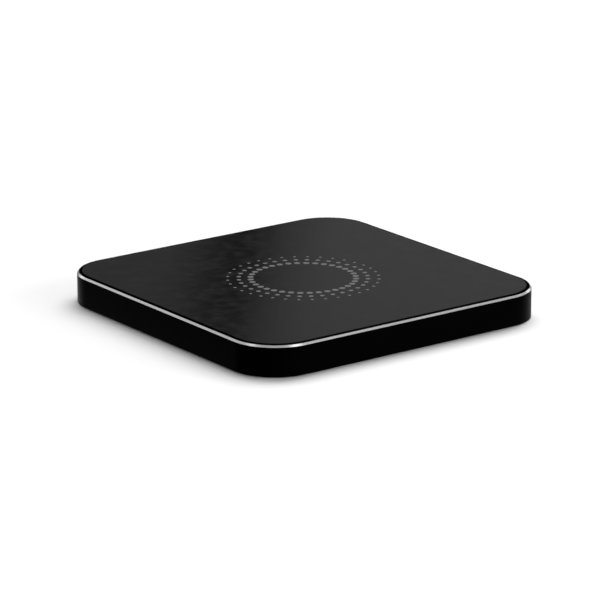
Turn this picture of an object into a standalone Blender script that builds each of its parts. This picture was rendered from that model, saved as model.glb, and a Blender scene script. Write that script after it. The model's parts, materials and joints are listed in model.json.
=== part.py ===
"""Wireless charging pad, modelled piece by piece as it would come apart on a bench.

Metres, +Z up. The origin is on the surface the pad stands on, under the pad's centre.
+Y is the rear, where the USB-C inlet is. Every piece is a closed solid of its own.
"""
import math

import bmesh
import bpy
from mathutils import Matrix, Vector

MM = 0.001

# Driving dimensions of the outside
SIDE = 100 * MM
CORNER_RADIUS = 13.8 * MM
HEIGHT = 8.95 * MM               # top of the frame; the panel stands a little proud of it
FRAME_BOTTOM = 0.2 * MM          # the feet stand this far below the frame
EDGE_CHAMFER = 0.50 * MM         # the bright cut round the frame's top edge
LIP = 0.12 * MM                  # flat rim between that cut and the panel's seat
GAP = 0.3 * MM                   # between pieces that are fitted together
FILM = 0.1 * MM                  # glue, solder or tape surface between two pieces

# Frame wall, and the heights of its inner steps
WALL = 2.2 * MM
BASE_REBATE = 1.2 * MM           # wall thickness beside the base plate
LEDGE = 3.4 * MM                 # from the outside to the ledge's inner edge
LEDGE_LEVELS = (6.7 * MM, 7.3 * MM)
REBATE_TOP = 1.9 * MM
LUG_RADIUS = 6.2 * MM
LUG_LEVELS = (3.9 * MM, 7.0 * MM)
FIXING = 40.8 * MM               # feet and case screws stand this far out in x and y

# Panel and what is glued under it
PANEL_GAP = 0.80 * MM            # the dark groove between the rim and the panel
PANEL_INSET = EDGE_CHAMFER + LIP + PANEL_GAP
PANEL_LEVELS = (7.7 * MM, 9.2 * MM)
PANEL_EDGE = 0.1 * MM
TAPE_LEVELS = (LEDGE_LEVELS[1] + FILM, PANEL_LEVELS[0] - FILM)
WIRE_DIAMETER = 1.05 * MM
COIL_PITCH = 1.15 * MM
COIL_TURNS = 10
COIL_INNER_RADIUS = 10.25 * MM
COIL_HEIGHT = TAPE_LEVELS[0] - FILM - WIRE_DIAMETER / 2
LEAD_BEND = 1.0 * MM
LEAD_SWEEP = 3.0 * MM
LEAD_REACH = 28 * MM
FERRITE_SIDE = 48 * MM
FERRITE_LEVELS = (5.3 * MM, 6.1 * MM)

# Base plate, feet and screws
BASE_TOP = 1.6 * MM
BOSS_RADIUS = 4.0 * MM
BOSS_TOP = LUG_LEVELS[0] - GAP
FOOT_RADIUS = 4.75 * MM
FOOT_TOP = 0.8 * MM
HEAD_POCKET_TOP = 2.3 * MM
CASE_SCREW_RADIUS = 1.0 * MM
BOARD_SCREW_RADIUS = 0.8 * MM

# Circuit board and inlet
BOARD_LEVELS = (2.4 * MM, 3.2 * MM)
BOARD_WIDTH = 64 * MM
BOARD_SPAN = (4 * MM, 47.2 * MM)
BOARD_FIXING_X = 28.5 * MM
BOARD_FIXING_Y = (8 * MM, 43 * MM)
PART_BOTTOM = BOARD_LEVELS[1] + FILM
INLET_SIZE = (8.94 * MM, 3.1 * MM)
INLET_WALL = 0.3 * MM
INLET_SPAN = (42.2 * MM, 49.5 * MM)
INLET_HEIGHT = PART_BOTTOM + INLET_SIZE[1] / 2
LIGHT_AT = (14 * MM, 4.4 * MM)

ARC_STEPS = 10                   # facets in each corner of the outline
TURN_STEPS = 24                  # facets round a full circle
COIL_STEPS = 16                  # facets in each turn of the coil

COLOURS = {
    "anodised_frame": ((0.012, 0.012, 0.013), 0.30, 1.0),
    "panel": ((0.030, 0.030, 0.031), 0.42, 0.0),
    "black_plastic": ((0.020, 0.020, 0.021), 0.55, 0.0),
    "rubber": ((0.025, 0.025, 0.026), 0.80, 0.0),
    "tape": ((0.60, 0.60, 0.57), 0.70, 0.0),
    "screw_steel": ((0.55, 0.55, 0.56), 0.30, 1.0),
    "copper_wire": ((0.72, 0.32, 0.14), 0.35, 1.0),
    "ferrite": ((0.060, 0.058, 0.060), 0.60, 0.0),
    "foam": ((0.050, 0.050, 0.052), 0.95, 0.0),
    "circuit_board": ((0.015, 0.110, 0.050), 0.40, 0.0),
    "shell_steel": ((0.62, 0.62, 0.63), 0.25, 1.0),
    "chip_plastic": ((0.020, 0.020, 0.022), 0.50, 0.0),
    "ceramic": ((0.45, 0.33, 0.22), 0.45, 0.0),
    "clear_plastic": ((0.80, 0.82, 0.85), 0.20, 0.0),
}


def clear_scene():
    for thing in list(bpy.data.objects):
        bpy.data.objects.remove(thing, do_unlink=True)


def make_collection(name):
    group = bpy.data.collections.new(name)
    bpy.context.scene.collection.children.link(group)
    return group


def make_material(name):
    colour, roughness, metallic = COLOURS[name]
    material = bpy.data.materials.new(name)
    material.use_nodes = True
    shader = material.node_tree.nodes["Principled BSDF"]
    shader.inputs["Base Color"].default_value = (*colour, 1)
    shader.inputs["Roughness"].default_value = roughness
    shader.inputs["Metallic"].default_value = metallic
    material.diffuse_color = (*colour, 1)
    return material


def add_object(name, mesh, material, location=(0, 0, 0), turn=(0, 0, 0)):
    """Put a mesh in the scene as a piece, or as a cutter when it has no material."""
    piece = bpy.data.objects.new(name, mesh)
    piece.location = location
    piece.rotation_euler = turn
    if material:
        mesh.materials.append(MATERIALS[material])
        PIECES.objects.link(piece)
    else:
        piece.hide_render = True
        piece.display_type = "WIRE"
        CUTTERS.objects.link(piece)
    return piece


def mesh_from(shape, name):
    """Finish a bmesh as a smooth-shaded mesh with its hard edges kept."""
    bmesh.ops.recalc_face_normals(shape, faces=shape.faces)
    mesh = bpy.data.meshes.new(name)
    shape.to_mesh(mesh)
    shape.free()
    mesh.shade_smooth()
    mesh.set_sharp_from_angle(angle=math.radians(35))
    return mesh


def upright(edge):
    return abs(edge.verts[0].co.z - edge.verts[1].co.z) > 1e-6


def on_level(edge, height):
    return all(abs(corner.co.z - height) < 1e-6 for corner in edge.verts)


def block(name, material, width, depth, levels, at=(0, 0), radius=0.0, top_cut=0.0,
          cut_steps=1, bottom_cut=0.0):
    """A block between two heights, with round upright corners and optional edge cuts."""
    low, high = levels
    middle = (low + high) / 2
    half = (high - low) / 2
    shape = bmesh.new()
    bmesh.ops.create_cube(shape, size=1)
    bmesh.ops.scale(shape, vec=(width, depth, high - low), verts=shape.verts)
    if radius:
        corners = [edge for edge in shape.edges if upright(edge)]
        bmesh.ops.bevel(shape, geom=corners, offset=radius, segments=ARC_STEPS, profile=0.5,
                        affect="EDGES", clamp_overlap=False)
        bmesh.ops.remove_doubles(shape, verts=shape.verts, dist=1e-7)
    if top_cut:
        rim = [edge for edge in shape.edges if on_level(edge, half)]
        bmesh.ops.bevel(shape, geom=rim, offset=top_cut, segments=cut_steps, profile=0.5,
                        affect="EDGES")
    if bottom_cut:
        rim = [edge for edge in shape.edges if on_level(edge, -half)]
        bmesh.ops.bevel(shape, geom=rim, offset=bottom_cut, segments=1, affect="EDGES")
    return add_object(name, mesh_from(shape, name), material, (*at, middle))


def cylinder(name, material, radius, levels, at=(0, 0), steps=TURN_STEPS):
    low, high = levels
    shape = bmesh.new()
    bmesh.ops.create_cone(shape, cap_ends=True, segments=steps, radius1=radius, radius2=radius,
                          depth=high - low)
    return add_object(name, mesh_from(shape, name), material, (*at, (low + high) / 2))


def slot_along_y(name, material, width, height, span, x, z):
    """A bar along Y whose cross-section has fully round ends, as a USB-C inlet has."""
    start, end = span
    shape = bmesh.new()
    bmesh.ops.create_cube(shape, size=1)
    bmesh.ops.scale(shape, vec=(width, height, end - start), verts=shape.verts)
    corners = [edge for edge in shape.edges if upright(edge)]
    bmesh.ops.bevel(shape, geom=corners, offset=height * 0.499, segments=6, profile=0.5,
                    affect="EDGES")
    bmesh.ops.rotate(shape, matrix=Matrix.Rotation(math.radians(90), 3, "X"), verts=shape.verts)
    return add_object(name, mesh_from(shape, name), material, (x, (start + end) / 2, z))


def turned(name, material, profile, location, turn=(0, 0, 0)):
    """A turned piece: its (radius, height) profile runs down the outer side, top to bottom."""
    mesh = bpy.data.meshes.new(name)
    points = [(radius, 0, height) for radius, height in profile]
    edges = [(index, index + 1) for index in range(len(points) - 1)]
    mesh.from_pydata(points, edges, [])
    piece = add_object(name, mesh, material, location, turn)
    spin = piece.modifiers.new("spin", "SCREW")
    spin.axis = "Z"
    spin.angle = math.tau
    spin.steps = spin.render_steps = TURN_STEPS
    spin.use_merge_vertices = True
    spin.merge_threshold = 0.00001
    spin.use_smooth_shade = True
    return piece


def combine(piece, tool, operation):
    change = piece.modifiers.new(tool.name, "BOOLEAN")
    change.object = tool
    change.operation = operation
    change.solver = "EXACT"


def cut(piece, tool):
    combine(piece, tool, "DIFFERENCE")


def join(piece, tool):
    combine(piece, tool, "UNION")


def square_inside(inset):
    """Side and corner radius of the frame's outline, moved inward by a distance."""
    return SIDE - 2 * inset, CORNER_RADIUS - inset


def outline_block(name, material, inset, levels, **edges):
    side, radius = square_inside(inset)
    return block(name, material, side, side, levels, radius=radius, **edges)


def four_corners():
    """The four fixing points, named as seen from the front."""
    for end, y in (("front", -FIXING), ("rear", FIXING)):
        for hand, x in (("left", -FIXING), ("right", FIXING)):
            yield f"{end}_{hand}", (x, y)


def board_fixings():
    for end, y in zip(("front", "rear"), BOARD_FIXING_Y):
        for hand, x in (("left", -BOARD_FIXING_X), ("right", BOARD_FIXING_X)):
            yield f"{end}_{hand}", (x, y)


def make_side_frame():
    frame = outline_block("side_frame", "anodised_frame", 0, (FRAME_BOTTOM, HEIGHT),
                          top_cut=EDGE_CHAMFER)
    beyond = 2 * HEIGHT
    steps = {
        "panel_seat": (EDGE_CHAMFER + LIP, (LEDGE_LEVELS[1], beyond)),
        "ledge_opening": (LEDGE, (-beyond, beyond)),
        "inner_room": (WALL, (REBATE_TOP - MM, LEDGE_LEVELS[0])),
        "base_rebate": (BASE_REBATE, (-beyond, REBATE_TOP)),
    }
    for name, (inset, levels) in steps.items():
        cut(frame, outline_block(name, None, inset, levels))
    for place, at in four_corners():
        join(frame, cylinder(f"lug_{place}", None, LUG_RADIUS, LUG_LEVELS, at, 32))
        hole_levels = (LUG_LEVELS[0] - MM, LUG_LEVELS[1] - FILM * 4)
        cut(frame, cylinder(f"lug_hole_{place}", None, CASE_SCREW_RADIUS + GAP, hole_levels, at))
    wall_span = (SIDE / 2 - WALL - 2 * MM, SIDE / 2 + MM)
    width, height = (size + 2 * GAP for size in INLET_SIZE)
    cut(frame, slot_along_y("inlet_hole", None, width, height, wall_span, 0, INLET_HEIGHT))
    light_hole = cylinder("light_hole", None, 0.8 * MM + GAP, wall_span)
    light_hole.location = (LIGHT_AT[0], sum(wall_span) / 2, LIGHT_AT[1])
    light_hole.rotation_euler = (math.radians(90), 0, 0)
    cut(frame, light_hole)


def make_panel():
    outline_block("top_panel", "panel", PANEL_INSET, PANEL_LEVELS,
                  top_cut=PANEL_EDGE, cut_steps=3)
    tape = outline_block("panel_adhesive", "tape", PANEL_INSET + GAP, TAPE_LEVELS)
    cut(tape, outline_block("tape_opening", None, LEDGE - GAP, (0, HEIGHT)))


def make_base_plate():
    base = outline_block("base_plate", "black_plastic", BASE_REBATE + GAP,
                         (FRAME_BOTTOM, BASE_TOP), bottom_cut=GAP)
    root = FRAME_BOTTOM + GAP * 3
    recess_top = FOOT_TOP + GAP
    for place, at in four_corners():
        join(base, cylinder(f"boss_{place}", None, BOSS_RADIUS, (root, BOSS_TOP), at))
    for place, at in board_fixings():
        join(base, cylinder(f"post_{place}", None, 2.5 * MM, (root, BOARD_LEVELS[0] - GAP), at))
        blind = (FRAME_BOTTOM + GAP, BASE_TOP + 2 * MM)
        cut(base, cylinder(f"post_hole_{place}", None, BOARD_SCREW_RADIUS + GAP, blind, at))
    for place, at in four_corners():
        bores = {
            "foot_recess": (FOOT_RADIUS + GAP, (0, recess_top)),
            "head_pocket": (2.2 * MM, (recess_top - GAP, HEAD_POCKET_TOP)),
            "screw_hole": (CASE_SCREW_RADIUS + GAP, (recess_top, BOSS_TOP + MM)),
        }
        for name, (radius, levels) in bores.items():
            cut(base, cylinder(f"{name}_{place}", None, radius, levels, at))


def make_feet():
    edge = 0.2 * MM
    profile = [
        (0, FOOT_TOP), (FOOT_RADIUS, FOOT_TOP), (FOOT_RADIUS, edge),
        (FOOT_RADIUS - edge * 0.3, edge * 0.3), (FOOT_RADIUS - edge, 0), (0, 0),
    ]
    for place, at in four_corners():
        turned(f"foot_{place}", "rubber", profile, (*at, 0))


def make_screw(name, location, head_radius, head_height, radius, length, upside_down):
    """A pan-head screw with a cross recess; its head stands on z = 0 of its own frame."""
    edge = 0.2 * MM
    profile = [
        (0, head_height), (head_radius - edge, head_height), (head_radius, head_height - edge),
        (head_radius, 0), (radius, 0), (radius, edge - length), (radius - edge, -length),
        (0, -length),
    ]
    turn = (math.pi, 0, 0) if upside_down else (0, 0, 0)
    screw = turned(name, "screw_steel", profile, location, turn)
    way = -1 if upside_down else 1
    recess_depth = head_height * 0.55
    middle = Vector(location) + Vector((0, 0, way * head_height))
    levels = (middle.z - recess_depth, middle.z + recess_depth)
    long, short = head_radius * 1.1, head_radius * 0.28
    for hand, size in (("a", (long, short)), ("b", (short, long))):
        cut(screw, block(f"{name}_cross_{hand}", None, *size, levels, middle.xy))


def make_screws():
    for place, at in four_corners():
        make_screw(f"case_screw_{place}", (*at, HEAD_POCKET_TOP - GAP), 1.9 * MM, 0.85 * MM,
                   CASE_SCREW_RADIUS, 4.2 * MM, True)
    for place, at in board_fixings():
        make_screw(f"board_screw_{place}", (*at, PART_BOTTOM), 1.6 * MM, 0.8 * MM,
                   BOARD_SCREW_RADIUS, 2.3 * MM, False)


def quarter_bend(centre, start, end, radius, steps=4):
    """Points on a quarter circle that leaves along -start and arrives along end."""
    for step in range(1, steps):
        angle = math.pi / 2 * step / steps
        yield centre + radius * (start * math.cos(angle) + end * math.sin(angle))


def coil_path():
    """Up from the board, round the flat spiral from its inner turn, and out and down again."""
    east, north, up = Vector((1, 0, 0)), Vector((0, 1, 0)), Vector((0, 0, 1))
    lead_end = PART_BOTTOM + WIRE_DIAMETER / 2
    first = Vector((0, COIL_INNER_RADIUS, COIL_HEIGHT))
    corner = first + LEAD_BEND * (east - up)
    points = [Vector((corner.x, corner.y, lead_end)), corner]
    points += quarter_bend(first - LEAD_BEND * up, east, up, LEAD_BEND)
    for step in range(COIL_STEPS * COIL_TURNS + 1):
        turns = step / COIL_STEPS
        angle = math.tau * turns + math.pi / 2
        radius = COIL_INNER_RADIUS + COIL_PITCH * turns
        points.append(Vector((radius * math.cos(angle), radius * math.sin(angle), COIL_HEIGHT)))
    last = points[-1]
    centre = last + LEAD_SWEEP * north
    points += quarter_bend(centre, -north, -east, LEAD_SWEEP, 5)
    points.append(centre - LEAD_SWEEP * east)
    away = Vector((centre.x - LEAD_SWEEP, LEAD_REACH - LEAD_BEND, COIL_HEIGHT))
    points.append(away)
    points += quarter_bend(away - LEAD_BEND * up, up, north, LEAD_BEND)
    down = away + LEAD_BEND * (north - up)
    points += [down, Vector((down.x, down.y, lead_end))]
    return points


def make_wire(name, material, points, diameter):
    """A round wire along the points, welded at its capped ends."""
    curve = bpy.data.curves.new(name, "CURVE")
    curve.dimensions = "3D"
    curve.bevel_depth = diameter / 2
    curve.bevel_resolution = 2
    curve.use_fill_caps = True
    line = curve.splines.new("POLY")
    line.points.add(len(points) - 1)
    for place, point in zip(line.points, points):
        place.co = (*point, 1)
    guide = bpy.data.objects.new(f"{name}_guide", curve)
    CUTTERS.objects.link(guide)
    bpy.context.view_layer.update()
    evaluated = guide.evaluated_get(bpy.context.evaluated_depsgraph_get())
    raw = bpy.data.meshes.new_from_object(evaluated)
    shape = bmesh.new()
    shape.from_mesh(raw)
    bmesh.ops.remove_doubles(shape, verts=shape.verts, dist=1e-7)
    bpy.data.objects.remove(guide, do_unlink=True)
    return add_object(name, mesh_from(shape, name), material)


def make_coil_stack():
    make_wire("transmitter_coil", "copper_wire", coil_path(), WIRE_DIAMETER)
    outer = COIL_INNER_RADIUS + COIL_PITCH * COIL_TURNS + WIRE_DIAMETER / 2
    tape = cylinder("coil_adhesive", "tape", outer, TAPE_LEVELS, steps=48)
    cut(tape, cylinder("coil_tape_hole", None, COIL_INNER_RADIUS - MM, (0, HEIGHT)))
    ferrite = block("ferrite_plate", "ferrite", FERRITE_SIDE, FERRITE_SIDE, FERRITE_LEVELS,
                    radius=2 * MM)
    lead_at = (LEAD_BEND, COIL_INNER_RADIUS)
    cut(ferrite, cylinder("lead_hole", None, WIRE_DIAMETER, (0, HEIGHT), lead_at))
    foam_levels = (BASE_TOP + GAP, FERRITE_LEVELS[0] - GAP)
    block("support_foam", "foam", 40 * MM, 20 * MM, foam_levels, (0, -13 * MM), radius=MM)


def make_board():
    start, end = BOARD_SPAN
    board = block("circuit_board", "circuit_board", BOARD_WIDTH, end - start, BOARD_LEVELS,
                  (0, (start + end) / 2), radius=1.5 * MM)
    for place, at in board_fixings():
        radius = BOARD_SCREW_RADIUS + GAP
        cut(board, cylinder(f"board_hole_{place}", None, radius, (0, HEIGHT), at))


def make_inlet():
    width, height = INLET_SIZE
    start, end = INLET_SPAN
    shell = slot_along_y("usb_c_shell", "shell_steel", width, height, INLET_SPAN, 0, INLET_HEIGHT)
    room = (width - 2 * INLET_WALL, height - 2 * INLET_WALL)
    room_span = (start + INLET_WALL, end + MM)
    cut(shell, slot_along_y("inlet_room", None, *room, room_span, 0, INLET_HEIGHT))
    core_span = (start + INLET_WALL + FILM, start + 2.8 * MM)
    core = (room[0] - 2 * FILM, room[1] - 2 * FILM)
    insert = slot_along_y("usb_c_tongue", "black_plastic", *core, core_span, 0, INLET_HEIGHT)
    tongue_levels = (INLET_HEIGHT - 0.35 * MM, INLET_HEIGHT + 0.35 * MM)
    tongue_end = end - 0.6 * MM
    tongue_start = core_span[0] + MM
    tongue = block("tongue_blade", None, 6.7 * MM, tongue_end - tongue_start, tongue_levels,
                   (0, (tongue_start + tongue_end) / 2))
    join(insert, tongue)


def make_light():
    """A clear pin with a flange behind the wall, in front of a small lamp on the board."""
    x, z = LIGHT_AT
    wall_face = SIDE / 2 - WALL
    flange = 0.6 * MM
    length = WALL + GAP
    profile = [(0, length), (0.8 * MM, length), (0.8 * MM, 0), (1.1 * MM, 0),
               (1.1 * MM, -flange), (0, -flange)]
    turned("light_pipe", "clear_plastic", profile, (x, wall_face - GAP, z),
           (math.radians(-90), 0, 0))


def make_board_parts():
    """Chips and passive parts, as (material, width, depth, height, places)."""
    row = {
        "controller_chip": ("chip_plastic", 5.0, 5.0, 0.9, [(0, 20)]),
        "bridge_transistor": ("chip_plastic", 3.3, 3.3, 0.9,
                              [(10, 18), (15, 18), (10, 23), (15, 23)]),
        "resonant_capacitor": ("ceramic", 3.2, 2.5, 1.6,
                               [(-10 - 4.5 * index, 28) for index in range(4)]),
        "input_capacitor": ("ceramic", 3.2, 1.6, 1.6, [(-8, 38), (8, 38)]),
        "power_inductor": ("ferrite", 4.0, 4.0, 1.6, [(18, 34)]),
        "crystal": ("shell_steel", 3.2, 2.5, 0.7, [(-8, 18)]),
        "current_sense_resistor": ("chip_plastic", 3.2, 1.6, 0.6, [(6, 31)]),
        "thermistor": ("chip_plastic", 1.6, 0.8, 0.8, [(-4, 7)]),
        "status_led": ("clear_plastic", 1.6, 0.8, 0.8, [(14, 45.8)]),
    }
    for name, (material, width, depth, height, places) in row.items():
        for number, (x, y) in enumerate(places, 1):
            full_name = f"{name}_{number}" if len(places) > 1 else name
            levels = (PART_BOTTOM, PART_BOTTOM + height * MM)
            block(full_name, material, width * MM, depth * MM, levels, (x * MM, y * MM),
                  top_cut=0.08 * MM)


clear_scene()
PIECES = make_collection("wireless_charging_pad")
CUTTERS = make_collection("cutters")
MATERIALS = {name: make_material(name) for name in COLOURS}

make_side_frame()
make_panel()
make_base_plate()
make_feet()
make_screws()
make_coil_stack()
make_board()
make_inlet()
make_light()
make_board_parts()
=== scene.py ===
"""Looks of the wireless charging pad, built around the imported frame.

Metres, +Z up, the same frame as the CAD. The camera stands in front and to the left of the pad,
so the front (-Y) and left (-X) walls show. The inlet is in the rear (+Y) wall.
"""
import json
import math

import bmesh
import bpy
from mathutils import Matrix, Vector


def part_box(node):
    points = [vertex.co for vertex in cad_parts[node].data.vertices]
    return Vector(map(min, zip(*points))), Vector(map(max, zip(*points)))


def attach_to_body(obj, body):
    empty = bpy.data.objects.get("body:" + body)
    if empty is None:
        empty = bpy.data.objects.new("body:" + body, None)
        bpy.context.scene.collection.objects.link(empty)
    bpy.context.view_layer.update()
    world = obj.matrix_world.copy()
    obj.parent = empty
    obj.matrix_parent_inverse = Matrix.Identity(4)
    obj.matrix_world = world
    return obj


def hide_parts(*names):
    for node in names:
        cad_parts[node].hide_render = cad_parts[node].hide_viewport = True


MM = 0.001
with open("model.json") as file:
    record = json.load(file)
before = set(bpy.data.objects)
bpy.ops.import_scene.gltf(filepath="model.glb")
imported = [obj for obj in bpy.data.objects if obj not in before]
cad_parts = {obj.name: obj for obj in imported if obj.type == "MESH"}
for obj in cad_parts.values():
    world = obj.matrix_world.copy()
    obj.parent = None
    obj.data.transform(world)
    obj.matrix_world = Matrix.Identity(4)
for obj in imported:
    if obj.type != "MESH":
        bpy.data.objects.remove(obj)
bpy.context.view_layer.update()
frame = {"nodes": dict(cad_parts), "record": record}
NODES = frame["nodes"]

# ---------------------------------------------------------------- sizes, from the frame
FRAME_LOW, FRAME_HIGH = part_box("side_frame")
PANEL_LOW, PANEL_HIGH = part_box("top_panel")
BASE_LOW, BASE_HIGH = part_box("base_plate")
FOOT_LOW, FOOT_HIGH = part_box("foot_front_left")
SHELL_LOW, SHELL_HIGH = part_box("usb_c_shell")
TONGUE_LOW, TONGUE_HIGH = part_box("usb_c_tongue")
LIGHT_LOW, LIGHT_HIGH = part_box("light_pipe")
TAPE_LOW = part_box("panel_adhesive")[0]

HALF = FRAME_HIGH.x
CORNER_RADIUS = 13.8 * MM
CHAMFER = 0.50 * MM
LIP = 0.12 * MM
SEAT = CHAMFER + LIP
LEDGE_TOP = TAPE_LOW.z - 0.1 * MM
LEDGE_BOTTOM = LEDGE_TOP - 0.6 * MM
LEDGE_INSET = 3.4 * MM
WALL_INSET = 2.2 * MM
REBATE_INSET = 1.2 * MM
REBATE_TOP = 1.9 * MM
FOOT_ROUND = 0.05 * MM           # the rounding at the frame's foot and at its rim
FIT_GAP = 0.3 * MM
MOUTH_FLARE = 0.25 * MM
LAMP_BORE = 1.1 * MM

PANEL_INSET = HALF - PANEL_HIGH.x
PANEL_ROLL = 0.10 * MM           # how far in the panel's rounded edge reaches
PANEL_DROP = 0.10 * MM           # how far down it falls

RING_RADII = (14.97 * MM, 18.3 * MM, 21.5 * MM)
DOT_DIAMETERS = (1.85 * MM, 1.36 * MM, 0.92 * MM)
DOTS_PER_RING = 36
RINGS_AT = (-0.5 * MM, -0.95 * MM)
INK_THICKNESS = 0.02 * MM

PLATE_TOP = 1.6 * MM
BOSS_START = 0.9 * MM            # the bosses start this far above the plate's lower face
BOSS_RADIUS = 4 * MM
FOOT_RECESS = 5.05 * MM
HEAD_BORE = 2.2 * MM
HEAD_BORE_TOP = 2.3 * MM
SHANK_BORE = 1.3 * MM
SHANK_BORE_TOP = 5 * MM

SHELL_WALL = 0.3 * MM
TONGUE_ROOT = 2.8 * MM           # from the shell's back to where the thin blade starts
BLADE_WIDTH = 6.7 * MM
BLADE_HALF = 0.35 * MM
CONTACTS_PER_FACE = 12
CONTACT_PITCH = 0.5 * MM
CONTACT_WIDTH = 0.26 * MM
CONTACT_THICKNESS = 0.03 * MM
LENS_RADIUS = 0.8 * MM
LENS_RISE = 0.12 * MM
FLANGE = 0.6 * MM

CORNER_STEPS = 40
SHARP_ANGLE = math.radians(32)

# ---------------------------------------------------------------- camera
CAMERA_TURN = math.radians(36.715)
CAMERA_TILT = math.radians(16.822)
CAMERA_DISTANCE = 10.047         # in sides of the pad
CAMERA_LENS = 211.98
CAMERA_ASIDE = 0.00077           # how far the view's middle lies beside and below the pad's,
CAMERA_BELOW = 0.00218           # in shares of the distance

# ---------------------------------------------------------------- floor and light levels
FLOOR_RADIUS = 0.9
LAMP_REACH = 1.2                 # how far the windows and floor lamps stand from the pad
DOME_AXIS = (0.30, 0.35, 0.89)
DOME_LEVELS = ((0.0, 0.04), (0.45, 0.06), (0.60, 0.12), (0.68, 0.42), (0.74, 0.39), (0.85, 0.42))
FLOOR_AXIS = (0.60, 0.80, 0.0)
FLOOR_LEVELS = ((0.0, 0.01), (0.35, 0.03), (0.6, 0.3), (0.8, 0.65), (0.93, 1.0))
KEY_HEIGHT = 8.0
KEY_ACROSS = (0.0, 1.4)          # from over the pad to the right, in shares of the height
KEY_DEEP = (0.05, 0.92)          # from over the pad to the rear
KEY_RADIANCE = 5.55
WINDOWS = (
    ("front_window", (0.32, -0.42, 0.97), 0.32, 0.24, 1.6),
    ("upper_window", (-0.52, 0.30, 1.0), 0.26, 0.26, 0.9),
    ("right_window", (0.94, 0.33, 0.28), 0.70, 0.28, 1.0),
    ("left_window", (-0.08, 0.95, 0.38), 0.50, 0.34, 0.8),
    ("side_window", (-0.45, 1.0, 0.85), 0.70, 0.60, 0.12),
)
FLOOR_LAMPS = (("side_lamp", (0.74, -0.67, 0.36), 5.0), ("front_lamp", (0.28, -0.96, 0.40), 2.4))
FLOOR_LAMP_SIZE = (0.60, 0.50)
CARD_TURN = math.radians(36.67)
CARD_REACH = 0.30
CARD_WIDTH = 0.50
CARD_HEIGHT = 0.36
CARD_SLANT = 0.26
CARD_ACROSS = ((-0.25, 0.11), (-0.027, 0.083), (-0.001, 0.0), (0.006, 0.0), (0.014, 0.095),
               (0.034, 0.165), (0.25, 0.19))
CARD_UP = ((0.0, 1.0), (0.13, 1.0), (0.18, 0.1), (0.36, 0.05))


# ---------------------------------------------------------------- mesh helpers
def finish_mesh(shape, name):
    bmesh.ops.recalc_face_normals(shape, faces=shape.faces)
    mesh = bpy.data.meshes.new(name)
    shape.to_mesh(mesh)
    shape.free()
    mesh.shade_smooth()
    mesh.set_sharp_from_angle(angle=SHARP_ANGLE)
    return mesh


def place(mesh, name, *materials):
    piece = bpy.data.objects.new(name, mesh)
    bpy.context.scene.collection.objects.link(piece)
    for material in materials:
        mesh.materials.append(material)
    return piece


def square_loop(inset, z):
    """Points round a square with round corners, moved inward from the frame's outline."""
    radius = CORNER_RADIUS - inset
    middle = HALF - CORNER_RADIUS
    points = []
    for quarter in range(4):
        start = quarter * math.pi / 2
        cx = middle * (1 if quarter in (0, 3) else -1)
        cy = middle * (1 if quarter in (0, 1) else -1)
        for step in range(CORNER_STEPS + 1):
            angle = start + math.pi / 2 * step / CORNER_STEPS
            points.append(Vector((cx + radius * math.cos(angle), cy + radius * math.sin(angle), z)))
    return points


def slot_loop(width, height, y, z, steps=16):
    """Points round a slot with fully round ends, standing across Y."""
    radius = height / 2
    reach = width / 2 - radius
    points = []
    for side in (1, -1):
        for step in range(steps + 1):
            angle = math.pi * step / steps - math.pi / 2
            points.append(Vector((side * (reach + radius * math.cos(angle)), y,
                                  z + side * radius * math.sin(angle))))
    return points


def skin(loops, close=False, caps=False):
    """Quads between one loop of points and the next, as a bmesh."""
    shape = bmesh.new()
    rings = [[shape.verts.new(point) for point in loop] for loop in loops]
    pairs = list(zip(rings, rings[1:]))
    if close:
        pairs.append((rings[-1], rings[0]))
    bands = []
    for lower, upper in pairs:
        count = len(lower)
        bands.append([
            shape.faces.new((lower[i], lower[(i + 1) % count], upper[(i + 1) % count], upper[i]))
            for i in range(count)
        ])
    if caps:
        shape.faces.new(rings[0][::-1])
        shape.faces.new(rings[-1])
    return shape, bands


def arc(centre, radius, start, end, steps):
    """(inset, height) points along an arc, angles in degrees."""
    points = []
    for step in range(steps + 1):
        angle = math.radians(start + (end - start) * step / steps)
        points.append((centre[0] + radius * math.cos(angle), centre[1] + radius * math.sin(angle)))
    return points


def turned(name, profile, centre, *materials, steps=64, turn=None):
    """A turned piece about its own Z, from (radius, height) points that run top to bottom."""
    loops = []
    for radius, height in profile:
        ring = [Vector((radius * math.cos(math.tau * i / steps),
                        radius * math.sin(math.tau * i / steps), height)) for i in range(steps)]
        loops.append(ring)
    shape, _ = skin(loops, caps=True)
    if turn is not None:
        bmesh.ops.transform(shape, matrix=turn, verts=shape.verts)
    bmesh.ops.translate(shape, vec=centre, verts=shape.verts)
    return place(finish_mesh(shape, name), name, *materials)


def boolean(piece, tool, operation):
    """Cut or join with a scratch object, and apply it at once."""
    change = piece.modifiers.new("change", "BOOLEAN")
    change.object = tool
    change.operation = operation
    change.solver = "EXACT"
    bpy.context.view_layer.update()
    evaluated = piece.evaluated_get(bpy.context.evaluated_depsgraph_get())
    mesh = bpy.data.meshes.new_from_object(evaluated)
    piece.modifiers.clear()
    piece.data = mesh
    bpy.data.objects.remove(tool, do_unlink=True)


def sharpen(piece):
    piece.data.shade_smooth()
    piece.data.set_sharp_from_angle(angle=SHARP_ANGLE)


def rod(radius, low, high, at):
    """A plain upright scratch cylinder for cutting and joining."""
    return turned("tool", [(radius, high), (radius, low)], Vector((*at, 0)), steps=48)


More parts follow.
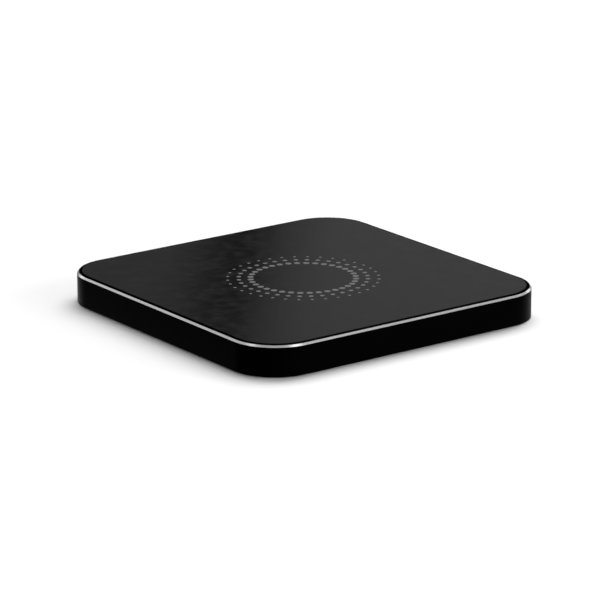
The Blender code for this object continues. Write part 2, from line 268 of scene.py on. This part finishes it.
# ---------------------------------------------------------------- material helpers
class Finish:
    """A Principled material whose colour, roughness and bump come from nodes."""

    def __init__(self, name, colour, roughness, metallic=0.0, specular=0.5):
        self.material = bpy.data.materials.new(name)
        self.material.use_nodes = True
        self.tree = self.material.node_tree
        self.shader = self.tree.nodes["Principled BSDF"]
        self.shader.inputs["Base Color"].default_value = (*colour, 1)
        self.shader.inputs["Roughness"].default_value = roughness
        self.shader.inputs["Metallic"].default_value = metallic
        self.shader.inputs["Specular IOR Level"].default_value = specular
        self.shader.inputs["IOR"].default_value = 1.5
        self.material.diffuse_color = (*colour, 1)
        self.colour = colour
        self.roughness = roughness
        self.place = self.node("ShaderNodeTexCoord").outputs["Object"]

    def node(self, kind, **inputs):
        made = self.tree.nodes.new(kind)
        for key, value in inputs.items():
            made.inputs[key.replace("_", " ")].default_value = value
        return made

    def link(self, source, target):
        self.tree.links.new(source, target)

    def stretched(self, scale):
        """Object coordinates scaled by a vector, for grain that runs one way."""
        mapping = self.node("ShaderNodeMapping", Scale=scale)
        self.link(self.place, mapping.inputs["Vector"])
        return mapping.outputs["Vector"]

    def noise(self, size, detail=4.0, where=None):
        """A noise pattern with features about size metres across."""
        made = self.node("ShaderNodeTexNoise", Scale=1 / size, Detail=detail)
        self.link(where or self.place, made.inputs["Vector"])
        return made.outputs["Fac"]

    def cells(self, size):
        """A pattern of round cells about size metres across."""
        made = self.node("ShaderNodeTexVoronoi", Scale=1 / size)
        self.link(self.place, made.inputs["Vector"])
        return made.outputs["Distance"]

    def tint(self, source, dark, light, start=0.3, end=0.7):
        """Colour the surface between two colours by a pattern."""
        ramp = self.node("ShaderNodeValToRGB")
        ramp.color_ramp.elements[0].position = start
        ramp.color_ramp.elements[0].color = (*dark, 1)
        ramp.color_ramp.elements[1].position = end
        ramp.color_ramp.elements[1].color = (*light, 1)
        self.link(source, ramp.inputs["Fac"])
        self.link(ramp.outputs["Color"], self.shader.inputs["Base Color"])

    def shade_by(self, source, amount):
        """Darken and lighten the colour by a share of itself."""
        dark = [part * (1 - amount) for part in self.colour]
        light = [part * (1 + amount) for part in self.colour]
        self.tint(source, dark, light)

    def rough_by(self, source, amount):
        """Make the surface rougher and smoother by a pattern."""
        made = self.node("ShaderNodeMapRange", From_Min=0.3, From_Max=0.7,
                         To_Min=self.roughness - amount, To_Max=self.roughness + amount)
        self.link(source, made.inputs["Value"])
        self.link(made.outputs["Result"], self.shader.inputs["Roughness"])

    def bump(self, source, strength, depth):
        made = self.node("ShaderNodeBump", Strength=strength, Distance=depth)
        self.link(source, made.inputs["Height"])
        self.link(made.outputs["Normal"], self.shader.inputs["Normal"])


def grained(name, colour, roughness, grain, depth, specular=0.5, tone=0.12, wander=0.05):
    """A material with an all-over fine grain and slow changes of tone and gloss."""
    finish = Finish(name, colour, roughness, specular=specular)
    finish.shade_by(finish.noise(9 * MM), tone)
    finish.rough_by(finish.noise(4 * MM, 6), wander)
    finish.bump(finish.noise(grain, 3), 0.35, depth)
    return finish.material


def make_panel_finish():
    return grained("satin_panel", (0.0065, 0.0065, 0.0067), 0.18, 0.14 * MM, 0.008 * MM,
                   tone=0.06)


def make_frame_finish():
    return grained("anodised_black", (0.003, 0.003, 0.0032), 0.42, 0.07 * MM, 0.004 * MM,
                   specular=0.05, tone=0.1, wander=0.04)


def make_groove_shade_finish():
    """Matt black, nearly glossless finish on the panel's cut edge and roll: painted shade that
    makes the dark line in the groove between panel and frame.
    """
    return grained("panel_edge_painted_shade", (0.003, 0.003, 0.003), 0.6, 0.1 * MM, 0.006 * MM,
                   specular=0.03, tone=0.1)


def make_cut_finish():
    """Bright metal with fine tool lines that run along the cut."""
    finish = Finish("machined_aluminium", (0.86, 0.86, 0.865), 0.26, 1.0)
    lines = finish.noise(0.05 * MM, 5, finish.stretched((0.004, 0.004, 1.0)))
    finish.shade_by(lines, 0.05)
    finish.rough_by(lines, 0.05)
    finish.bump(lines, 0.2, 0.003 * MM)
    return finish.material


def make_ink_finish():
    return grained("grey_ink", (0.078, 0.078, 0.079), 0.55, 0.06 * MM, 0.003 * MM, tone=0.08)


def make_plastic_finish():
    return grained("black_moulding", (0.012, 0.012, 0.0125), 0.52, 0.16 * MM, 0.02 * MM)


def make_rubber_finish():
    return grained("foot_rubber", (0.018, 0.018, 0.019), 0.78, 0.1 * MM, 0.015 * MM,
                   specular=0.3)


def make_tape_finish():
    return grained("adhesive_tape", (0.62, 0.61, 0.57), 0.6, 0.3 * MM, 0.01 * MM)


def make_steel_finish():
    finish = Finish("screw_steel", (0.55, 0.55, 0.56), 0.3, 1.0)
    marks = finish.noise(0.4 * MM, 5)
    finish.shade_by(marks, 0.12)
    finish.rough_by(marks, 0.08)
    finish.bump(finish.noise(0.08 * MM), 0.2, 0.004 * MM)
    return finish.material


def make_shell_finish():
    """Plated sheet steel, with drawing lines along the shell's depth."""
    finish = Finish("plated_shell", (0.60, 0.60, 0.61), 0.28, 1.0)
    lines = finish.noise(0.06 * MM, 4, finish.stretched((1.0, 0.05, 1.0)))
    finish.shade_by(lines, 0.08)
    finish.rough_by(lines, 0.06)
    finish.bump(lines, 0.2, 0.003 * MM)
    return finish.material


def make_gold_finish():
    finish = Finish("contact_gold", (0.83, 0.60, 0.25), 0.25, 1.0)
    finish.shade_by(finish.noise(0.3 * MM), 0.08)
    finish.rough_by(finish.noise(0.1 * MM), 0.05)
    return finish.material


def make_copper_finish():
    """Stranded, enamelled copper: slanting strand lines round the bundle."""
    finish = Finish("litz_copper", (0.60, 0.24, 0.09), 0.34, 1.0)
    wave = finish.node("ShaderNodeTexWave", Scale=900.0, Distortion=1.5, Detail=2.0)
    finish.link(finish.place, wave.inputs["Vector"])
    finish.tint(wave.outputs["Fac"], (0.35, 0.12, 0.04), (0.74, 0.33, 0.14), 0.1, 0.9)
    finish.rough_by(finish.noise(0.5 * MM), 0.08)
    finish.bump(wave.outputs["Fac"], 0.5, 0.05 * MM)
    return finish.material


def make_ferrite_finish():
    finish = Finish("pressed_ferrite", (0.055, 0.053, 0.056), 0.6)
    finish.tint(finish.noise(0.25 * MM, 6), (0.035, 0.034, 0.037), (0.085, 0.082, 0.085))
    finish.rough_by(finish.noise(0.6 * MM), 0.1)
    finish.bump(finish.noise(0.12 * MM), 0.4, 0.02 * MM)
    return finish.material


def make_foam_finish():
    finish = Finish("cell_foam", (0.05, 0.05, 0.052), 0.95)
    pores = finish.cells(0.5 * MM)
    finish.tint(pores, (0.015, 0.015, 0.016), (0.075, 0.075, 0.078), 0.05, 0.5)
    finish.bump(pores, 0.8, 0.15 * MM)
    return finish.material


def make_board_finish():
    """Green solder mask over faint copper runs."""
    finish = Finish("solder_mask", (0.012, 0.10, 0.045), 0.35)
    bricks = finish.node("ShaderNodeTexBrick", Scale=260.0, Mortar_Size=0.03)
    bricks.inputs["Color1"].default_value = (0.010, 0.085, 0.038, 1)
    bricks.inputs["Color2"].default_value = (0.014, 0.110, 0.050, 1)
    bricks.inputs["Mortar"].default_value = (0.030, 0.200, 0.085, 1)
    finish.link(finish.place, bricks.inputs["Vector"])
    finish.link(bricks.outputs["Color"], finish.shader.inputs["Base Color"])
    finish.rough_by(finish.noise(0.8 * MM), 0.06)
    finish.bump(bricks.outputs["Fac"], 0.3, 0.02 * MM)
    return finish.material


def make_chip_finish():
    return grained("chip_package", (0.016, 0.016, 0.017), 0.5, 0.08 * MM, 0.008 * MM)


def make_ceramic_finish():
    """Tan ceramic, as small capacitors have."""
    finish = Finish("ceramic_body", (0.42, 0.30, 0.19), 0.45)
    finish.shade_by(finish.noise(0.3 * MM), 0.15)
    finish.rough_by(finish.noise(0.3 * MM), 0.08)
    finish.bump(finish.noise(0.1 * MM), 0.2, 0.006 * MM)
    return finish.material


def make_clear_finish():
    finish = Finish("milky_lens", (0.72, 0.74, 0.76), 0.25)
    finish.shader.inputs["Transmission Weight"].default_value = 0.35
    finish.shade_by(finish.noise(0.5 * MM), 0.05)
    finish.rough_by(finish.noise(0.2 * MM), 0.05)
    return finish.material


FINISHES = {
    "anodised_frame": make_frame_finish(),
    "machined_edge": make_cut_finish(),
    "panel": make_panel_finish(),
    # the panel's matt black edge finish is painted shade for the dark groove line
    "panel_edge_shade": make_groove_shade_finish(),
    "printed_ink": make_ink_finish(),
    "black_plastic": make_plastic_finish(),
    "rubber": make_rubber_finish(),
    "tape": make_tape_finish(),
    "screw_steel": make_steel_finish(),
    "copper_wire": make_copper_finish(),
    "ferrite": make_ferrite_finish(),
    "foam": make_foam_finish(),
    "circuit_board": make_board_finish(),
    "shell_steel": make_shell_finish(),
    "contact_gold": make_gold_finish(),
    "chip_plastic": make_chip_finish(),
    "ceramic": make_ceramic_finish(),
    "clear_plastic": make_clear_finish(),
}


def attach(piece, slot, *nodes):
    """The piece rides on the pad and stands for CAD nodes, which it hides; slot is not used."""
    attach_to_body(piece, "root")
    if nodes:
        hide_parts(*nodes)


# ---------------------------------------------------------------- pieces
def make_frame():
    """The anodised ring, with its bright chamfer, inlet mouth and lamp hole."""
    top, bottom = FRAME_HIGH.z, FRAME_LOW.z
    outside = arc((FOOT_ROUND, bottom + FOOT_ROUND), FOOT_ROUND, 270, 180, 4)
    chamfer = [(0.0, top - CHAMFER), (CHAMFER, top)]
    lip = arc((SEAT - FOOT_ROUND, top - FOOT_ROUND), FOOT_ROUND, 90, 0, 3)
    inside = [(SEAT, LEDGE_TOP), (LEDGE_INSET, LEDGE_TOP), (LEDGE_INSET, LEDGE_BOTTOM),
              (WALL_INSET, LEDGE_BOTTOM), (WALL_INSET, REBATE_TOP), (REBATE_INSET, REBATE_TOP),
              (REBATE_INSET, bottom)]
    profile = outside + chamfer + lip + inside
    shape, bands = skin([square_loop(*point) for point in profile], close=True)
    for face in bands[len(outside)]:
        face.material_index = 1
    piece = place(finish_mesh(shape, "side_frame_body"), "side_frame_body",
                  FINISHES["anodised_frame"], FINISHES["machined_edge"])
    cut_openings(piece)
    sharpen(piece)
    attach(piece, "anodised_frame", "side_frame")


def cut_openings(piece):
    """The inlet's flared mouth and the lamp's hole in the rear wall."""
    middle = (SHELL_LOW + SHELL_HIGH) / 2
    width = SHELL_HIGH.x - SHELL_LOW.x + 2 * FIT_GAP
    height = SHELL_HIGH.z - SHELL_LOW.z + 2 * FIT_GAP
    depths = [(0, HALF - 5 * MM), (0, HALF - MOUTH_FLARE), (2 * MOUTH_FLARE, HALF),
              (2.8 * MOUTH_FLARE, HALF + MM)]
    loops = [slot_loop(width + grow, height + grow, y, middle.z) for grow, y in depths]
    shape, _ = skin(loops, caps=True)
    boolean(piece, place(finish_mesh(shape, "tool"), "tool"), "DIFFERENCE")
    lamp = (LIGHT_LOW + LIGHT_HIGH) / 2
    lying = Matrix.Rotation(math.radians(90), 4, "X")
    hole = turned("tool", [(LAMP_BORE, 4 * MM), (LAMP_BORE, -4 * MM)],
                  Vector((lamp.x, HALF, lamp.z)), steps=48, turn=lying)
    boolean(piece, hole, "DIFFERENCE")


def make_panel():
    """The satin panel, whose side and small rounded roll take a matt black finish as painted shade
    for the groove line, and the printed rings.
    """
    top, bottom = PANEL_HIGH.z, PANEL_LOW.z
    roll_steps = 12
    profile = [(PANEL_INSET, bottom)]
    for step in range(roll_steps + 1):
        angle = math.pi / 2 * step / roll_steps
        profile.append((PANEL_INSET + PANEL_ROLL * (1 - math.cos(angle)),
                        top - PANEL_DROP * (1 - math.sin(angle))))
    profile.append((PANEL_INSET + PANEL_ROLL + 0.05 * MM, top))
    shape, bands = skin([square_loop(*point) for point in profile], caps=True)
    # The side and the roll take the matt black edge finish: painted shade for the dark groove line.
    for band in bands[:roll_steps]:
        for face in band:
            face.material_index = 1
    piece = place(finish_mesh(shape, "satin_top"), "satin_top", FINISHES["panel"],
                  FINISHES["panel_edge_shade"])
    attach(piece, "panel", "top_panel")
    for number, (radius, width) in enumerate(zip(RING_RADII, DOT_DIAMETERS), 1):
        make_dots(f"printed_ring_{number}", radius, width, top)


def make_dots(name, ring_radius, width, level):
    """One ring of printed dots, each a thin disc of ink."""
    shape = bmesh.new()
    for index in range(DOTS_PER_RING):
        angle = math.tau * index / DOTS_PER_RING
        at = Matrix.Translation((RINGS_AT[0] + ring_radius * math.cos(angle),
                                 RINGS_AT[1] + ring_radius * math.sin(angle),
                                 level + INK_THICKNESS * 0.25))
        bmesh.ops.create_cone(shape, cap_ends=True, segments=40, radius1=width / 2,
                              radius2=width / 2 - INK_THICKNESS / 2, depth=INK_THICKNESS,
                              matrix=at)
    piece = place(finish_mesh(shape, name), name, FINISHES["printed_ink"])
    attach(piece, "printed_ink")


def make_base():
    """The bottom cover with its foot recesses, screw bores and bosses."""
    inset = HALF - BASE_HIGH.x
    soft = 0.25 * MM
    profile = arc((inset + soft, BASE_LOW.z + soft), soft, 270, 180, 5)
    profile.append((inset, PLATE_TOP))
    shape, _ = skin([square_loop(*point) for point in profile], caps=True)
    piece = place(finish_mesh(shape, "bottom_cover"), "bottom_cover", FINISHES["black_plastic"])
    for node in sorted(name for name in NODES if name.startswith("case_screw")):
        low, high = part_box(node)
        at = ((low + high) / 2).xy
        boss_foot = BASE_LOW.z + BOSS_START
        boolean(piece, rod(BOSS_RADIUS, boss_foot, BASE_HIGH.z, at), "UNION")
        boolean(piece, rod(FOOT_RECESS, -MM, FOOT_HIGH.z + FIT_GAP, at), "DIFFERENCE")
        boolean(piece, rod(HEAD_BORE, MM, HEAD_BORE_TOP, at), "DIFFERENCE")
        boolean(piece, rod(SHANK_BORE, 2 * MM, SHANK_BORE_TOP, at), "DIFFERENCE")
    sharpen(piece)
    attach(piece, "black_plastic", "base_plate")


def make_feet():
    radius = (FOOT_HIGH.x - FOOT_LOW.x) / 2
    soft = 0.2 * MM
    profile = [(radius, FOOT_HIGH.z)] + [
        (radius - soft + soft * math.cos(math.pi / 2 * step / 6),
         FOOT_LOW.z + soft - soft * math.sin(math.pi / 2 * step / 6)) for step in range(7)]
    for node in sorted(name for name in NODES if name.startswith("foot_")):
        low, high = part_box(node)
        centre = Vector(((low.x + high.x) / 2, (low.y + high.y) / 2, 0))
        piece = turned(node.replace("foot", "rubber_foot"), profile, centre, FINISHES["rubber"])
        attach(piece, "rubber", node)


def make_inlet():
    """The folded shell with a rolled mouth, the tongue, and its gold contacts."""
    middle = (SHELL_LOW + SHELL_HIGH) / 2
    width = SHELL_HIGH.x - SHELL_LOW.x
    height = SHELL_HIGH.z - SHELL_LOW.z
    back, front = SHELL_LOW.y, SHELL_HIGH.y
    roll = [(math.sin(math.pi * step / 8), math.cos(math.pi * step / 8)) for step in range(9)]
    loops = [slot_loop(width, height, back, middle.z)]
    for out, across in roll:
        shrink = SHELL_WALL * (1 - across)
        y = front - SHELL_WALL / 2 + SHELL_WALL / 2 * out
        loops.append(slot_loop(width - shrink, height - shrink, y, middle.z))
    room_width, room_height = width - 2 * SHELL_WALL, height - 2 * SHELL_WALL
    loops.append(slot_loop(room_width, room_height, back + SHELL_WALL, middle.z))
    shape, _ = skin(loops, caps=True)
    shell = place(finish_mesh(shape, "inlet_shell"), "inlet_shell", FINISHES["shell_steel"])
    attach(shell, "shell_steel", "usb_c_shell")
    make_tongue(room_width - 0.2 * MM, room_height - 0.2 * MM, back + TONGUE_ROOT, middle.z)


def make_tongue(width, height, root, level):
    """A plug of plastic at the back of the shell, its thin blade, and the blade's contacts."""
    core, _ = skin([slot_loop(width, height, TONGUE_LOW.y, level),
                    slot_loop(width, height, root, level)], caps=True)
    soft = 0.12 * MM
    end = TONGUE_HIGH.y
    blade_loops = []
    for y, grow in ((root - 0.5 * MM, 0), (end - soft, 0), (end - soft * 0.3, -soft * 0.6),
                    (end, -2 * soft)):
        half_x, half_z = (BLADE_WIDTH + grow) / 2, BLADE_HALF + grow / 2
        blade_loops.append([Vector((side * half_x, y, level + face * half_z))
                            for side, face in ((1, -1), (1, 1), (-1, 1), (-1, -1))])
    blade, _ = skin(blade_loops, caps=True)
    insert = place(finish_mesh(core, "inlet_tongue"), "inlet_tongue", FINISHES["black_plastic"])
    boolean(insert, place(finish_mesh(blade, "tool"), "tool"), "UNION")
    sharpen(insert)
    attach(insert, "black_plastic", "usb_c_tongue")

    contacts = bmesh.new()
    start, stop = root + 0.1 * MM, end - 0.5 * MM
    size = Matrix.Diagonal((CONTACT_WIDTH, stop - start, 2 * CONTACT_THICKNESS, 1))
    for face in (-1, 1):
        for index in range(CONTACTS_PER_FACE):
            x = (index - (CONTACTS_PER_FACE - 1) / 2) * CONTACT_PITCH
            at = Matrix.Translation((x, (start + stop) / 2, level + face * BLADE_HALF))
            bmesh.ops.create_cube(contacts, size=1, matrix=at @ size)
    pads = place(finish_mesh(contacts, "inlet_contacts"), "inlet_contacts",
                 FINISHES["contact_gold"])
    attach(pads, "contact_gold")


def make_lamp():
    """A milky pin whose domed end shows in the rear wall."""
    lamp = (LIGHT_LOW + LIGHT_HIGH) / 2
    length = LIGHT_HIGH.y - LIGHT_LOW.y
    profile = []
    for angle in (math.radians(degrees) for degrees in (10, 30, 50, 70, 90)):
        profile.append((LENS_RADIUS * math.sin(angle),
                        length - LENS_RISE * (1 - math.cos(angle))))
    profile += [(LENS_RADIUS, FLANGE), (LAMP_BORE, FLANGE), (LAMP_BORE, 0)]
    turn = Matrix.Rotation(math.radians(-90), 4, "X")
    piece = turned("lamp_pin", profile, Vector((lamp.x, LIGHT_LOW.y, lamp.z)),
                   FINISHES["clear_plastic"], steps=40, turn=turn)
    attach(piece, "clear_plastic", "light_pipe")


def finish_cad_nodes():
    """Every CAD node takes the procedural finish of its slot."""
    for subpart in frame["record"]["subparts"]:
        mesh = NODES[subpart["node"]].data
        mesh.materials.clear()
        mesh.materials.append(FINISHES[subpart["material_slot"]])


# ---------------------------------------------------------------- camera, floor and light
def make_camera():
    """A long lens from in front and to the left, a little above the pad."""
    distance = CAMERA_DISTANCE * 2 * HALF
    level = math.cos(CAMERA_TILT)
    forward = Vector((math.sin(CAMERA_TURN) * level, math.cos(CAMERA_TURN) * level,
                      -math.sin(CAMERA_TILT)))
    right = Vector((math.cos(CAMERA_TURN), -math.sin(CAMERA_TURN), 0))
    above = right.cross(forward)
    data = bpy.data.cameras.new("camera")
    data.lens = CAMERA_LENS
    data.sensor_width = 36
    data.clip_start = 0.01
    data.clip_end = 50
    camera = bpy.data.objects.new("camera", data)
    aim = forward + right * CAMERA_ASIDE - above * CAMERA_BELOW
    rotation = Matrix((right, above, -forward)).transposed().to_4x4()
    camera.matrix_world = Matrix.Translation(-distance * aim) @ rotation
    bpy.context.scene.collection.objects.link(camera)
    bpy.context.scene.camera = camera


def make_floor():
    """A pale round floor, which the pad's reflections leave out."""
    shape = bmesh.new()
    bmesh.ops.create_circle(shape, cap_ends=True, segments=96, radius=FLOOR_RADIUS)
    finish = Finish("pale_floor", (0.86, 0.86, 0.86), 0.9, specular=0.0)
    finish.shade_by(finish.noise(0.5), 0.002)
    floor = place(finish_mesh(shape, "floor"), "floor", finish.material)
    floor.visible_glossy = False
    floor.visible_diffuse = False


def area_light(name, place_at, target, width, height, radiance):
    """A soft rectangular light with the given brightness, facing a target."""
    data = bpy.data.lights.new(name, "AREA")
    data.shape = "RECTANGLE"
    data.size, data.size_y = width, height
    data.energy = radiance * math.pi * width * height
    lamp = bpy.data.objects.new(name, data)
    lamp.location = place_at
    direction = Vector(target) - Vector(place_at)
    lamp.rotation_euler = direction.to_track_quat("-Z", "Y").to_euler()
    lamp.visible_camera = False
    bpy.context.scene.collection.objects.link(lamp)
    return lamp


def make_world():
    """A soft dome about a leaning axis, dark towards the viewer; plain white as a backdrop."""
    world = bpy.data.worlds.new("studio")
    bpy.context.scene.world = world
    world.use_nodes = True
    tree = world.node_tree
    tree.nodes.clear()
    link = tree.links.new
    where = tree.nodes.new("ShaderNodeTexCoord").outputs["Generated"]
    lean = tree.nodes.new("ShaderNodeVectorMath")
    lean.operation = "DOT_PRODUCT"
    lean.inputs[1].default_value = DOME_AXIS
    link(where, lean.inputs[0])
    ramp = make_ramp(tree, DOME_LEVELS)
    link(lean.outputs["Value"], ramp.inputs["Fac"])
    split = tree.nodes.new("ShaderNodeSeparateXYZ")
    link(where, split.inputs["Vector"])
    above = tree.nodes.new("ShaderNodeMapRange")
    above.inputs["From Min"].default_value = -0.02
    above.inputs["From Max"].default_value = 0.02
    link(split.outputs["Z"], above.inputs["Value"])
    dome = tree.nodes.new("ShaderNodeBackground")
    link(ramp.outputs["Color"], dome.inputs["Color"])
    beyond = tree.nodes.new("ShaderNodeVectorMath")
    beyond.operation = "DOT_PRODUCT"
    beyond.inputs[1].default_value = FLOOR_AXIS
    link(where, beyond.inputs[0])
    floor_ramp = make_ramp(tree, FLOOR_LEVELS)
    link(beyond.outputs["Value"], floor_ramp.inputs["Fac"])
    below = tree.nodes.new("ShaderNodeBackground")
    link(floor_ramp.outputs["Color"], below.inputs["Color"])
    backdrop = tree.nodes.new("ShaderNodeBackground")
    backdrop.inputs["Color"].default_value = (1, 1, 1, 1)
    backdrop.inputs["Strength"].default_value = 1.05
    path = tree.nodes.new("ShaderNodeLightPath")
    halves = tree.nodes.new("ShaderNodeMixShader")
    link(above.outputs["Result"], halves.inputs["Fac"])
    link(below.outputs["Background"], halves.inputs[1])
    link(dome.outputs["Background"], halves.inputs[2])
    mix = tree.nodes.new("ShaderNodeMixShader")
    link(path.outputs["Is Camera Ray"], mix.inputs["Fac"])
    link(halves.outputs["Shader"], mix.inputs[1])
    link(backdrop.outputs["Background"], mix.inputs[2])
    out = tree.nodes.new("ShaderNodeOutputWorld")
    link(mix.outputs["Shader"], out.inputs["Surface"])


def make_ramp(tree, stops):
    """A grey ramp through (position, level) stops."""
    ramp = tree.nodes.new("ShaderNodeValToRGB")
    ramp.color_ramp.interpolation = "EASE"
    elements = ramp.color_ramp.elements
    while len(elements) < len(stops):
        elements.new(0.5)
    for element, (position, level) in zip(elements, stops):
        element.position = position
        element.color = (level, level, level, 1)
    return ramp


def make_lights():
    """A large soft box overhead, behind and to the right, small windows and two floor lamps."""
    left, right = (share * KEY_HEIGHT for share in KEY_ACROSS)
    near, far = (share * KEY_HEIGHT for share in KEY_DEEP)
    centre = Vector(((left + right) / 2, (near + far) / 2, KEY_HEIGHT))
    area_light("key", centre, centre - Vector((0, 0, 1)), right - left, far - near, KEY_RADIANCE)
    for name, toward, width, height, radiance in WINDOWS:
        place_at = Vector(toward).normalized() * LAMP_REACH
        area_light(name, place_at, (0, 0, 0), width, height, radiance)
    for name, toward, radiance in FLOOR_LAMPS:
        place_at = Vector(toward).normalized() * LAMP_REACH
        lamp = area_light(name, place_at, (0, 0, 0), *FLOOR_LAMP_SIZE, radiance)
        lamp.visible_glossy = False


def make_card():
    """A dark grey card behind the pad, which only its glossy surfaces mirror."""
    ahead = Vector((math.sin(CARD_TURN), math.cos(CARD_TURN), 0))
    aside = Vector((ahead.y, -ahead.x, 0))
    shape = bmesh.new()
    bmesh.ops.create_grid(shape, x_segments=1, y_segments=1, size=0.5,
                          matrix=Matrix.Rotation(math.radians(90), 4, "X"))
    bmesh.ops.scale(shape, vec=(CARD_WIDTH, 1, CARD_HEIGHT), verts=shape.verts)
    bmesh.ops.translate(shape, vec=(0, 0, CARD_HEIGHT / 2), verts=shape.verts)
    material = bpy.data.materials.new("grey_card")
    material.use_nodes = True
    tree = material.node_tree
    tree.nodes.clear()
    link = tree.links.new
    where = tree.nodes.new("ShaderNodeTexCoord").outputs["Object"]
    split = tree.nodes.new("ShaderNodeSeparateXYZ")
    link(where, split.inputs["Vector"])
    slant = tree.nodes.new("ShaderNodeMath")
    slant.operation = "MULTIPLY_ADD"
    slant.inputs[1].default_value = CARD_SLANT
    link(split.outputs["Z"], slant.inputs[0])
    link(split.outputs["X"], slant.inputs[2])
    spread = tree.nodes.new("ShaderNodeMapRange")
    spread.inputs["From Min"].default_value = -CARD_WIDTH / 2
    spread.inputs["From Max"].default_value = CARD_WIDTH / 2
    link(slant.outputs["Value"], spread.inputs["Value"])
    sides = make_ramp(tree, [(0.5 + x / CARD_WIDTH, level) for x, level in CARD_ACROSS])
    link(spread.outputs["Result"], sides.inputs["Fac"])
    rise = tree.nodes.new("ShaderNodeMapRange")
    rise.inputs["From Max"].default_value = CARD_HEIGHT
    link(split.outputs["Z"], rise.inputs["Value"])
    fade = make_ramp(tree, [(z / CARD_HEIGHT, level) for z, level in CARD_UP])
    link(rise.outputs["Result"], fade.inputs["Fac"])
    glow = tree.nodes.new("ShaderNodeEmission")
    link(sides.outputs["Color"], glow.inputs["Color"])
    link(fade.outputs["Color"], glow.inputs["Strength"])
    out = tree.nodes.new("ShaderNodeOutputMaterial")
    link(glow.outputs["Emission"], out.inputs["Surface"])
    card = place(finish_mesh(shape, "card"), "card", material)
    card.matrix_world = (Matrix.Translation(ahead * CARD_REACH)
                         @ Matrix((aside, ahead, (0, 0, 1))).transposed().to_4x4())
    card.visible_camera = False
    card.visible_diffuse = False
    card.visible_transmission = False
    card.visible_shadow = False


make_camera()
make_world()
make_floor()
make_lights()
make_card()
finish_cad_nodes()
make_frame()
make_panel()
make_base()
make_feet()
make_inlet()
make_lamp()
bpy.context.scene.view_settings.view_transform = "Standard"
